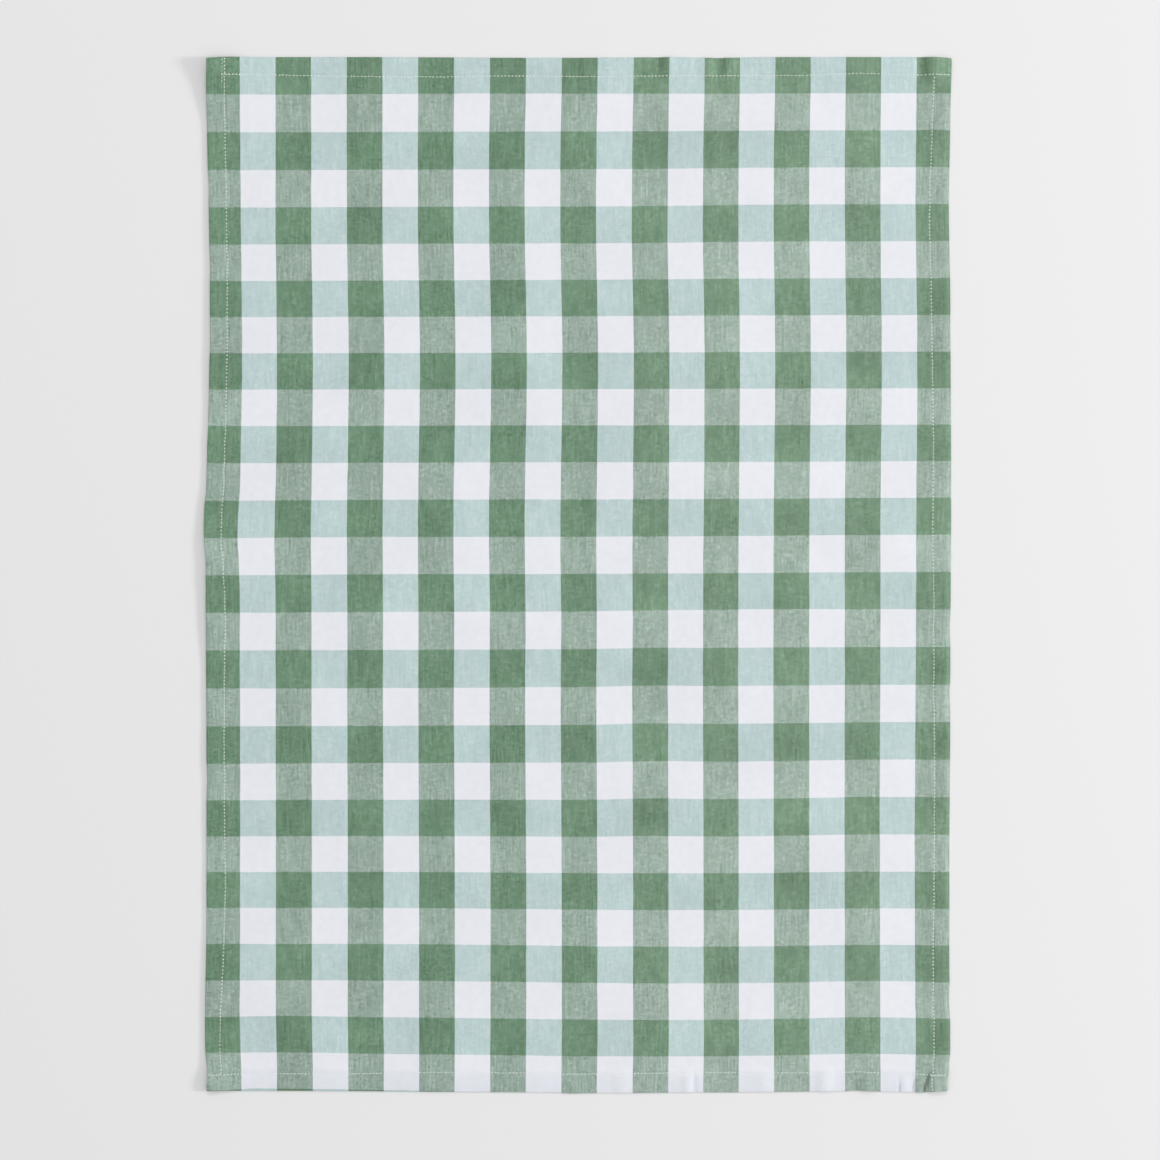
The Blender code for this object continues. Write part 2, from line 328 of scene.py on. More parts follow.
# Where mesh lines run. Face and under-side insets are counted in from the folded edge.
FACE_INSETS = (
    0.0300, 0.0245, 0.0205, 0.0185, 0.0170, 0.0159, 0.0151, 0.0143, HEM_WIDTH, 0.0130, 0.0125, 0.0120,
    0.0115, 0.0109, 0.0102, 0.0093, 0.0083, 0.0070, 0.0056, 0.0044, 0.0033, 0.0024, 0.0016, 0.0010,
    OUTER_FOLD,
)
UNDER_INSETS = (OUTER_FOLD, 0.0035, 0.0070, 0.0105, 0.0120, HEM_WIDTH - INNER_FOLD)
TUCK_INSETS = (HEM_WIDTH - INNER_FOLD, 0.0100, 0.0055, HEM_WIDTH - TUCK_WIDTH)
OUTER_FOLD_STEPS = 6
INNER_FOLD_STEPS = 3
FIELD_SPACING = 0.0075
LINES_TO_A_SLOPE = 3
ROOM_FOR_A_LINE = 0.6


def hill(offset, half_width):
    """A smooth hump, 1 at no offset and 0 from half_width on."""
    return 0.5 + 0.5 * np.cos(np.pi * np.minimum(np.abs(offset) / half_width, 1))


def curl(distance, reach):
    """A rise that steepens towards the edge, 1 at the edge and 0 from reach on."""
    return np.maximum(0, 1 - distance / reach) ** 2


def fade(distance, start, width):
    """1 up to start, and smoothly down to 0 over width."""
    share = np.clip((distance - start) / width, 0, 1)
    return 1 - share * share * (3 - 2 * share)


def through(place, places, values):
    """A smooth curve through the values at those places, level at both ends."""
    places = np.array(places)
    values = np.array(values)
    slopes = np.gradient(values, places)
    slopes[0] = slopes[-1] = 0
    i = np.clip(np.searchsorted(places, place) - 1, 0, len(places) - 2)
    gap = places[i + 1] - places[i]
    s = np.clip((place - places[i]) / gap, 0, 1)
    rise = values[i + 1] - values[i]
    bend = s * (1 - s) * ((1 - s) * (slopes[i] * gap - rise) - s * (slopes[i + 1] * gap - rise))
    return values[i] + rise * s + bend


def seam_inset(side, along):
    """How far in from the edge the stitches of a side run."""
    places, insets_there = zip(*SEAMS[side])
    return through(along, places, insets_there)


def hem_height(side, inset, along):
    """How far the face of one hem stands over the single cloth."""
    profile = through(inset, [h.inset for h in HEM_HEIGHTS], [getattr(h, side) for h in HEM_HEIGHTS])
    turn = ("left", "right", "top", "bottom").index(side)
    uneven = sum(np.sin(along / w.length + w.shift * turn) for w in HEM_WAVES)
    stretches = [h for h in HEM_STRETCHES if h.side == side]
    fuller = sum(h.share * hill(along - h.centre, h.half_length) for h in stretches)
    groove = STITCH_DEPTH * hill(inset - seam_inset(side, along), STITCH_GROOVE)
    return profile * (1 + HEM_UNEVENNESS / len(HEM_WAVES) * uneven + fuller) - groove


def insets(x, y):
    """How far a point is in from the nearer side and from the nearer end."""
    return TOWEL_WIDTH / 2 - np.abs(x), TOWEL_LENGTH / 2 - np.abs(y)


def lift(x, y):
    """The height of what the cloth's lowest layer lies on: nothing, or air under a curl."""
    height = 0 * x * y
    for c in CORNER_LIFTS:
        from_side = TOWEL_WIDTH / 2 - c.side_x * x
        from_end = TOWEL_LENGTH / 2 - c.side_y * y
        height = height + c.height * curl(from_side, c.reach_x) * hill(from_end, c.reach_y)
    for s in SIDE_LIFTS:
        from_side = TOWEL_WIDTH / 2 - s.side_x * x
        height = height + s.height * curl(from_side, s.reach) * hill(y - s.centre, s.half_length)
    return height


def underside(x, y):
    """The lowest surface of the hems. The stitches draw it up a little."""
    from_side, from_end = insets(x, y)
    side_seam = np.where(x > 0, seam_inset("right", y), seam_inset("left", y))
    end_seam = np.where(y > 0, seam_inset("top", x), seam_inset("bottom", x))
    at_side_seam = hill(from_side - side_seam, STITCH_GROOVE)
    at_end_seam = hill(from_end - end_seam, STITCH_GROOVE)
    return lift(x, y) + STITCH_HOLLOW * np.maximum(at_side_seam, at_end_seam)


def face(x, y):
    """The height of the towel's face."""
    from_side, from_end = insets(x, y)
    side = np.where(x > 0, hem_height("right", from_side, y), hem_height("left", from_side, y))
    end = np.where(y > 0, hem_height("top", from_end, x), hem_height("bottom", from_end, x))
    height = FACE_HEIGHT + side + end + CORNER_BULK * np.maximum(side, 0) * np.maximum(end, 0)
    for r in RIPPLES:
        angle = math.radians(r.angle)
        along = x * math.cos(angle) + y * math.sin(angle)
        height = height + r.height * (1 + np.sin(2 * np.pi * along / r.length + r.start))
    height = height + PRESSED_FOLD_HEIGHT * hill(y - PRESSED_FOLD_Y, PRESSED_FOLD_HALF_WIDTH)
    for s in SWELLS:
        height = height + s.height * hill(x - s.x, s.half_x) * hill(y - s.y, s.half_y)
    for p in PUCKERS:
        from_edge = TOWEL_LENGTH / 2 - p.side_y * y
        in_reach = fade(from_edge, p.reach - PUCKER_FADE, PUCKER_FADE)
        height = height + p.rise * hill(x - p.centre, p.half_width) * in_reach
    for c in CREASES:
        turn = math.radians(c.turn)
        lengthways = (x - c.x) * math.cos(turn) + (y - c.y) * math.sin(turn)
        sideways = (y - c.y) * math.cos(turn) - (x - c.x) * math.sin(turn)
        height = height - c.depth * hill(lengthways, c.half_length) * hill(sideways, c.half_width)
    return lift(x, y) + height


def bow_of(side, along):
    """How far a side's edge bows out at a place along it."""
    return sum(b.out * hill(along - b.centre, b.half_length) for b in EDGE_BOWS if b.side == side)


def in_plan(x, y):
    """Where a point of the true rectangle lies, with its corners rounded and its edges bowed."""
    from_side, from_end = insets(x, y)
    corner_x = np.maximum(CORNER_ROUNDING - from_side, 0)
    corner_y = np.maximum(CORNER_ROUNDING - from_end, 0)
    reach = np.hypot(corner_x, corner_y)
    both = (corner_x > 0) & (corner_y > 0)
    some_reach = np.where(both, reach, 1.0)
    drawn_in = np.where(both, 1 - np.maximum(corner_x, corner_y) / some_reach, 0)
    side_bow = np.where(x > 0, bow_of("right", y), -bow_of("left", y)) * fade(from_side, 0, EDGE_BLEND)
    end_bow = np.where(y > 0, bow_of("top", x), -bow_of("bottom", x)) * fade(from_end, 0, EDGE_BLEND)
    x_there = x - np.sign(x) * corner_x * drawn_in + side_bow
    y_there = y - np.sign(y) * corner_y * drawn_in + end_bow
    return x_there, y_there


# Where the cloth's lines lie in one direction, from raw edge to raw edge: how far out from the
# middle, how far round the outer and the inner fold, and how far along the cut cloth.
Lines = namedtuple("Lines", "place outer inner cloth")


def hem_lines(span):
    """The lines of one hem past the face, outwards along the cloth: the fold, under, the tuck."""
    outer_arc = OUTER_FOLD - CLOTH_THICKNESS / 2
    inner_arc = INNER_FOLD - CLOTH_THICKNESS / 4
    face_end = span / 2 - OUTER_FOLD
    under_start = face_end + math.pi * outer_arc
    under_end = under_start + UNDER_INSETS[-1] - OUTER_FOLD
    tuck_start = under_end + math.pi * inner_arc
    rows = []
    for step in range(1, OUTER_FOLD_STEPS):
        turn = math.pi * step / OUTER_FOLD_STEPS
        rows.append((OUTER_FOLD, turn, 0.0, face_end + turn * outer_arc))
    rows += [(inset, math.pi, 0.0, under_start + inset - OUTER_FOLD) for inset in UNDER_INSETS]
    for step in range(1, INNER_FOLD_STEPS):
        turn = math.pi * step / INNER_FOLD_STEPS
        rows.append((UNDER_INSETS[-1], math.pi, turn, under_end + turn * inner_arc))
    rows += [(inset, math.pi, math.pi, tuck_start + TUCK_INSETS[0] - inset) for inset in TUCK_INSETS]
    return rows


def lines_over(middle, reach, half_width):
    """Lines over a pucker or crease, each with the room it needs to the next one."""
    step = half_width / LINES_TO_A_SLOPE
    count = math.ceil(reach / step)
    return [(middle + step * i, ROOM_FOR_A_LINE * step) for i in range(-count, count + 1)]


def cloth_lines(span, extra):
    """All lines across the cloth. On its face they are the hems' own, the extra and even ones."""
    hem = hem_lines(span)
    field = [end * (span / 2 - inset) for inset in FACE_INSETS for end in (-1, 1)]
    outermost = span / 2 - FACE_INSETS[0]
    count = round(2 * outermost / FIELD_SPACING)
    even = [(outermost * (2 * i / count - 1), FIELD_SPACING / 2) for i in range(1, count)]
    for place, room in extra + even:
        if abs(place) < max(field) and min(abs(place - f) for f in field) > room:
            field.append(place)
    left = [(inset - span / 2, outer, inner, -cloth) for inset, outer, inner, cloth in reversed(hem)]
    middle = [(place, 0.0, 0.0, place) for place in sorted(field)]
    right = [(span / 2 - inset, outer, inner, cloth) for inset, outer, inner, cloth in hem]
    return Lines(*np.array(left + middle + right).T)


def folded(total, layer, outer, inner, depth):
    """Takes a depth in flat cloth through the hem's two folds, in a hem of that total height.

    It gives the depth below the hem's face, and how far the fold moves the point in or out.
    """
    half = total / 2
    down = half - (half - depth) * np.cos(outer)
    across = -OUTER_FOLD * (half - depth) / half * np.sin(outer)
    bend = (total + layer) / 4
    round_it = np.maximum(bend - depth, TIGHTEST_FOLD)
    down_in = (3 * total - layer) / 4 + round_it * np.cos(inner)
    across_in = INNER_FOLD * round_it / bend * np.sin(inner)
    turned = inner > 0
    return np.where(turned, down_in, down), np.where(turned, across_in, across)


def cloth_points(lines_x, lines_y):
    """Every point of the folded cloth, [line across, line along, face or back, x y z]."""
    x = lines_x.place[:, None, None]
    y = lines_y.place[None, :, None]
    back = np.array([0.0, 1.0])[None, None, :]
    from_side, from_end = insets(x, y)
    in_side_hem = fade(from_side, HEM_WIDTH, HEM_EASE)
    in_end_hem = fade(from_end, HEM_WIDTH, HEM_EASE)
    top = face(x, y)
    total = top - underside(x, y)
    layer = np.minimum(CLOTH_THICKNESS, total / LAYERS_PRESSED ** (in_side_hem + in_end_hem))
    side_total = total * (1 - in_end_hem * (1 - 1 / LAYERS_PRESSED))
    outer = lines_x.outer[:, None, None]
    inner = lines_x.inner[:, None, None]
    depth, in_x = folded(side_total, layer, outer, inner, back * layer)
    side_layers = layer + (side_total - layer) * in_side_hem
    outer = lines_y.outer[None, :, None]
    inner = lines_y.inner[None, :, None]
    depth, in_y = folded(total, side_layers, outer, inner, depth)
    x_there, y_there = in_plan(x - np.sign(x) * in_x, y - np.sign(y) * in_y)
    return np.stack(np.broadcast_arrays(x_there, y_there, top - depth), axis=-1)


extra_across = []
extra_along = lines_over(PRESSED_FOLD_Y, PRESSED_FOLD_HALF_WIDTH, PRESSED_FOLD_HALF_WIDTH)
for c in CREASES:
    runs_across = abs(math.cos(math.radians(c.turn)))
    runs_along = abs(math.sin(math.radians(c.turn)))
    reach_x = runs_across * c.half_length + runs_along * c.half_width
    reach_y = runs_along * c.half_length + runs_across * c.half_width
    if runs_along > runs_across:
        extra_across += lines_over(c.x, reach_x, c.half_width)
    else:
        extra_along += lines_over(c.y, reach_y, c.half_width)
for p in PUCKERS:
    extra_across += lines_over(p.centre, p.half_width, p.half_width)
across_lines = cloth_lines(TOWEL_WIDTH, extra_across)
along_lines = cloth_lines(TOWEL_LENGTH, extra_along)
points = cloth_points(across_lines, along_lines)

# The CAD frame's origin is the middle of the towel's box, and bows move that off the rectangle's.
off_centre = (points[..., :2].reshape(-1, 2).min(0) + points[..., :2].reshape(-1, 2).max(0)) / 2
off_centre = off_centre - [(cad_low[i] + cad_high[i]) / 2 for i in (0, 1)]
points[..., 0] -= off_centre[0]
points[..., 1] -= off_centre[1]

count_x, count_y = points.shape[:2]
number = np.arange(count_x * count_y * 2).reshape(count_x, count_y, 2)


def sheet_faces(grid):
    """Quads over a whole grid of points, seen from its face."""
    return np.stack([grid[:-1, :-1], grid[1:, :-1], grid[1:, 1:], grid[:-1, 1:]], axis=-1)


def strip_faces(first, second):
    """Quads between two rows of points of the same length."""
    return np.stack([first[:-1], first[1:], second[1:], second[:-1]], axis=-1)


def add_map(mesh, name, x, y):
    """Lays a map on a mesh, with an x and a y for each corner of each face."""
    new_map = mesh.uv_layers.new(name=name)
    new_map.data.foreach_set("uv", np.stack([x, y], -1).reshape(-1))
    return new_map


face_quads = sheet_faces(number[:, :, 0])
back_quads = sheet_faces(number[:, :, 1])[..., [0, 3, 2, 1]]
rim_quads = np.concatenate([
    strip_faces(number[:, 0, 1], number[:, 0, 0]),
    strip_faces(number[-1, :, 1], number[-1, :, 0]),
    strip_faces(number[::-1, -1, 1], number[::-1, -1, 0]),
    strip_faces(number[0, ::-1, 1], number[0, ::-1, 0]),
])
quads = np.concatenate([face_quads.reshape(-1, 4), back_quads.reshape(-1, 4), rim_quads])
cloth_mesh = bpy.data.meshes.new("gingham_cloth")
cloth_mesh.from_pydata(points.reshape(-1, 3).tolist(), [], quads.tolist())
cloth_mesh.shade_smooth()

# The weave's own coordinates, in metres along the cut cloth. The folds carry the weave with them.
cloth_x = np.broadcast_to(across_lines.cloth[:, None, None], number.shape).reshape(-1)
cloth_y = np.broadcast_to(along_lines.cloth[None, :, None], number.shape).reshape(-1)
pulled_x = np.zeros(number.shape)
pulled_y = np.zeros(number.shape)
for p in PULLS:
    share = hill(across_lines.place[:, None, None] - p.x, p.half_x)
    share = share * hill(along_lines.place[None, :, None] - p.y, p.half_y)
    pulled_x += p.right * share
    pulled_y += p.up * share
weave_x = cloth_x - pulled_x.reshape(-1)
weave_y = cloth_y - pulled_y.reshape(-1)
corner_points = quads.reshape(-1)
weave_map = add_map(cloth_mesh, "weave", weave_x[corner_points], weave_y[corner_points])

# A map for baking the colours: the face has most of it, the back less, and the raw edges a strip.
CUT_WIDTH = 2 * across_lines.cloth[-1]
CUT_LENGTH = 2 * along_lines.cloth[-1]
MAP_MARGIN = 0.004
FACE_SHARE = (0.402, 0.996)
BACK_SHARE = (0.004, 0.390)
RIM_SHARE = (0.393, 0.399)
rim_count = len(rim_quads)
along_rim = (np.arange(rim_count)[:, None] + np.array([0, 1, 1, 0])) / rim_count
map_x = cloth_x[corner_points] / CUT_WIDTH + 0.5
map_y = cloth_y[corner_points] / CUT_LENGTH + 0.5
map_x[-rim_quads.size:] = along_rim.reshape(-1)
map_y[-rim_quads.size:] = np.tile([0, 0, 1, 1], rim_count)
corners_in_each = (face_quads.size, back_quads.size, rim_quads.size)
low, high = np.repeat([FACE_SHARE, BACK_SHARE, RIM_SHARE], corners_in_each, axis=0).T
map_x = MAP_MARGIN + (1 - 2 * MAP_MARGIN) * map_x
map_y = low + (high - low) * map_y
add_map(cloth_mesh, "OFBake", map_x, map_y)
cloth_mesh.uv_layers.active = weave_map


def in_scene(name, data):
    """An object made of a mesh, a light or a camera, in the scene."""
    thing = bpy.data.objects.new(name, data)
    bpy.context.scene.collection.objects.link(thing)
    return thing


cloth = in_scene("gingham_cloth", cloth_mesh)

# Painted shade and painted light: places where the colour is made deeper or paler, by a share of its
# lightness, for the shadow in the hems' puckers and tucks and the light and shade on the hems' slopes.
PaintedShadePatch = namedtuple("PaintedShadePatch", "x y half_x half_y lighter")
PAINTED_SHADE_PATCHES = (
    PaintedShadePatch(0.0570, 0.3430, 0.0065, 0.013, -0.27),
    PaintedShadePatch(0.0905, 0.3430, 0.0055, 0.013, 0.13),
    PaintedShadePatch(0.0980, 0.3430, 0.0060, 0.013, -0.18),
    PaintedShadePatch(0.2325, 0.3405, 0.0065, 0.018, -0.28),
    PaintedShadePatch(0.2430, 0.3430, 0.0070, 0.014, 0.14),
    PaintedShadePatch(0.2430, 0.1860, 0.0130, 0.018, -0.20),
    PaintedShadePatch(0.2430, -0.0620, 0.0130, 0.018, -0.24),
    PaintedShadePatch(0.2430, -0.1120, 0.0130, 0.018, -0.20),
    PaintedShadePatch(0.2430, -0.3090, 0.0130, 0.018, -0.26),
    PaintedShadePatch(0.2470, 0.0450, 0.0100, 0.045, 0.17),
    PaintedShadePatch(0.2470, -0.1620, 0.0100, 0.020, 0.14),
    PaintedShadePatch(0.2450, -0.2480, 0.0120, 0.028, 0.15),
    PaintedShadePatch(0.2450, 0.2800, 0.0120, 0.040, 0.09),
    PaintedShadePatch(0.2332, -0.3445, 0.0022, 0.006, -0.48),
    PaintedShadePatch(0.2358, -0.3380, 0.0020, 0.008, -0.30),
    PaintedShadePatch(-0.2450, -0.1000, 0.0130, 0.028, -0.09),
    PaintedShadePatch(-0.2450, -0.1640, 0.0130, 0.020, -0.16),
    PaintedShadePatch(-0.2450, -0.2600, 0.0110, 0.018, -0.14),
    PaintedShadePatch(-0.2450, 0.1850, 0.0130, 0.050, 0.08),
)
painted_shade_share = np.ones(number.shape)
for d in PAINTED_SHADE_PATCHES:
    share = hill(across_lines.place[:, None, None] - d.x, d.half_x)
    painted_shade_share += d.lighter * share * hill(along_lines.place[None, :, None] - d.y, d.half_y)
painted_shade_share = painted_shade_share.reshape(-1)[corner_points]
add_map(cloth_mesh, "dye", painted_shade_share, painted_shade_share)
cloth_mesh.uv_layers.active = weave_map

# The check: stripes of green and white warp, crossed by stripes of pale blue-green and white weft.
# Each stripe has this width and this many yarns.
WARP_STRIPE = 0.02387
WEFT_STRIPE = 0.02480
WARP_YARNS = 38
WEFT_YARNS = 36
FIRST_WARP_STRIPE = -0.22705
FIRST_WEFT_STRIPE = 0.3230

# How far a yarn wanders aside, and how often it does so to the metre, along it and across.
YARN_WANDER = 0.00040
WANDERS_ALONG_A_YARN = 45.0
WANDERS_BETWEEN_YARNS = 60.0

# The colours of the four kinds of cell, where the warp yarn lies uppermost and where the weft does.
CellColours = namedtuple("CellColours", "white pale heather green")
WARP_UP = CellColours(
    white=(0.805, 0.811, 0.853),
    pale=(0.577, 0.673, 0.676),
    heather=(0.208, 0.308, 0.236),
    green=(0.094, 0.198, 0.107),
)
WEFT_UP = CellColours(
    white=(0.793, 0.799, 0.843),
    pale=(0.421, 0.565, 0.560),
    heather=(0.416, 0.500, 0.456),
    green=(0.206, 0.318, 0.225),
)

# Painted light: the green is made paler towards the right, the side lamp's side, for its glare.
PAINTED_LIGHT_TO_THE_RIGHT = (0.030, 0.030, 0.026)
PAINTED_LIGHT_FROM = -0.06
PAINTED_LIGHT_FULLY = 0.11

# The blue-green row that is turned under at the bottom shows a little through the white one.
HEM_SHOWING_THROUGH = (0.945, 0.953, 0.966)
GREEN_HIDES_IT = 0.6
HEM_SHOWS_FROM = 0.3312
HEM_SHOWS_FULLY = 0.3356

# How unevenly the yarns cover each other, and the lengths over which their thickness changes.
COVER_WARP_OVER = 0.75
COVER_WEFT_OVER = 0.25
WARP_STREAK = 1.0
WARP_STREAK_LENGTH = 0.0027
WARP_SLUB = 0.75
WARP_SLUB_LENGTH = 0.014
WEFT_STREAK = 0.85
WEFT_STREAK_LENGTH = 0.0050
LOOSE_CROSSING = 0.7

# How far apart in the noise two neighbouring yarns are read, so that no yarn is like the next.
WARP_STREAK_STEP = 5.37
WARP_SLUB_STEP = 3.71
WEFT_STREAK_STEP = 4.83
CROSSING_WARP_STEP = 7.13
CROSSING_WEFT_STEP = 6.41
WARP_SHADE_STEP = 2.39

# How unevenly the yarn took the dye: in flecks, along each yarn, and in broad soft patches.
FLECK = 0.30
FLECK_WIDTH = 0.0010
FLECK_LENGTH = 0.0015
FLECKED_AQUA = 0.35
WARP_SHADE = 0.16
WARP_SHADE_LENGTH = 0.060
PATCH = 0.26
PATCH_WIDTH = 0.009
PATCH_LENGTH = 0.015
BROAD_PATCH = 0.30
BROAD_PATCH_SIZE = 0.045
# The tint that the painted shade and light scale from, where their share falls to naught.
DEEPEST_PAINTED_SHADE = (-0.15, 0.10, -0.12)
PATCHY_GREEN = 0.7
PATCHY_AQUA = 0.4
PATCHY_WHITE = 0.15
MOTTLE = 0.06
MOTTLE_SIZE = 0.0040

# Painted shade darkens the hollows between yarns. A yarn dips by a share of its height as it passes
# under.
PAINTED_HOLLOW_SHADE = 0.935
PAINTED_YARN_TOP_LIGHT = 0.16
YARN_DIP = 0.5
STREAK_RELIEF = 0.5
RELIEF_STRENGTH = 0.6
RELIEF_DEPTH = 0.00006
COTTON_ROUGHNESS = 0.90
FLECK_ROUGHNESS = 0.10


def new_material(name):
    """A material and its shader."""
    material = bpy.data.materials.new(name)
    material.use_nodes = True
    return material, material.node_tree.nodes["Principled BSDF"]


def connect(tree, value, socket):
    """Gives a socket a number, a colour, or the output of another node."""
    if isinstance(value, bpy.types.NodeSocket):
        tree.links.new(value, socket)
    elif isinstance(value, tuple):
        socket.default_value = (*value, 1.0)[: len(socket.default_value)]
    else:
        socket.default_value = value


def reckon(tree, operation, *values):
    """The result of a sum on numbers or outputs."""
    node = tree.nodes.new("ShaderNodeMath")
    node.operation = operation
    for socket, value in zip(node.inputs, values):
        connect(tree, value, socket)
    return node.outputs[0]


def times(tree, value, factor):
    """A value, or an output, as many times as the factor says."""
    return reckon(tree, "MULTIPLY", value, factor)


def counted_in(tree, value, length):
    """How many times a length goes into a value."""
    return reckon(tree, "DIVIDE", value, length)


def tinted(tree, operation, share, colour, by):
    """A colour with a share of another one mixed with it, added to it or multiplied into it."""
    node = tree.nodes.new("ShaderNodeMix")
    node.data_type = "RGBA"
    node.blend_type = operation
    node.clamp_factor = False
    for index, value in ((0, share), (6, colour), (7, by)):
        connect(tree, value, node.inputs[index])
    return node.outputs[2]


def between(tree, share, first, second):
    """A colour that goes from the first to the second as the share goes from 0 to 1."""
    return tinted(tree, "MIX", share, first, second)


def noise_at(tree, x, y, detail=0.0):
    """Smooth noise about 0, from about -0.5 to 0.5, that changes over one unit of x and of y."""
    place = tree.nodes.new("ShaderNodeCombineXYZ")
    connect(tree, x, place.inputs[0])
    connect(tree, y, place.inputs[1])
    node = tree.nodes.new("ShaderNodeTexNoise")
    node.noise_dimensions = "2D"
    node.inputs["Scale"].default_value = 1.0
    node.inputs["Detail"].default_value = detail
    tree.links.new(place.outputs[0], node.inputs["Vector"])
    return reckon(tree, "SUBTRACT", node.outputs["Fac"], 0.5)


def noise_over(tree, place, width, length, detail=1.0):
    """Smooth noise about 0 that changes over that width of x and that length of y."""
    x, y = place
    return noise_at(tree, counted_in(tree, x, width), counted_in(tree, y, length), detail)


def smooth_step(tree, value, low, high):
    """0 below low, 1 above high, and smooth between."""
    node = tree.nodes.new("ShaderNodeMapRange")
    node.interpolation_type = "SMOOTHSTEP"
    for socket, amount in zip(node.inputs[:3], (value, low, high)):
        connect(tree, amount, socket)
    return node.outputs[0]


def every_second(tree, yarn, yarns_in_stripe):
    """1 in every second stripe of that many yarns, and 0 in the others."""
    stripe = reckon(tree, "FLOOR", counted_in(tree, reckon(tree, "ADD", yarn, 0.5), yarns_in_stripe))
    return reckon(tree, "FLOORED_MODULO", stripe, 2.0)


def places_on(tree, map_name):
    """The x and the y that a map gives at each point of the surface."""
    surface_map = tree.nodes.new("ShaderNodeUVMap")
    surface_map.uv_map = map_name
    split = tree.nodes.new("ShaderNodeSeparateXYZ")
    tree.links.new(surface_map.outputs[0], split.inputs[0])
    return split.outputs[0], split.outputs[1]


def roughen(tree, shader, relief, strength, depth):
    """Gives a surface a fine relief of its own."""
    bump = tree.nodes.new("ShaderNodeBump")
    bump.inputs["Strength"].default_value = strength
    bump.inputs["Distance"].default_value = depth
    tree.links.new(relief, bump.inputs["Height"])
    tree.links.new(bump.outputs[0], shader.inputs["Normal"])


cotton, cotton_shader = new_material("gingham_cotton")


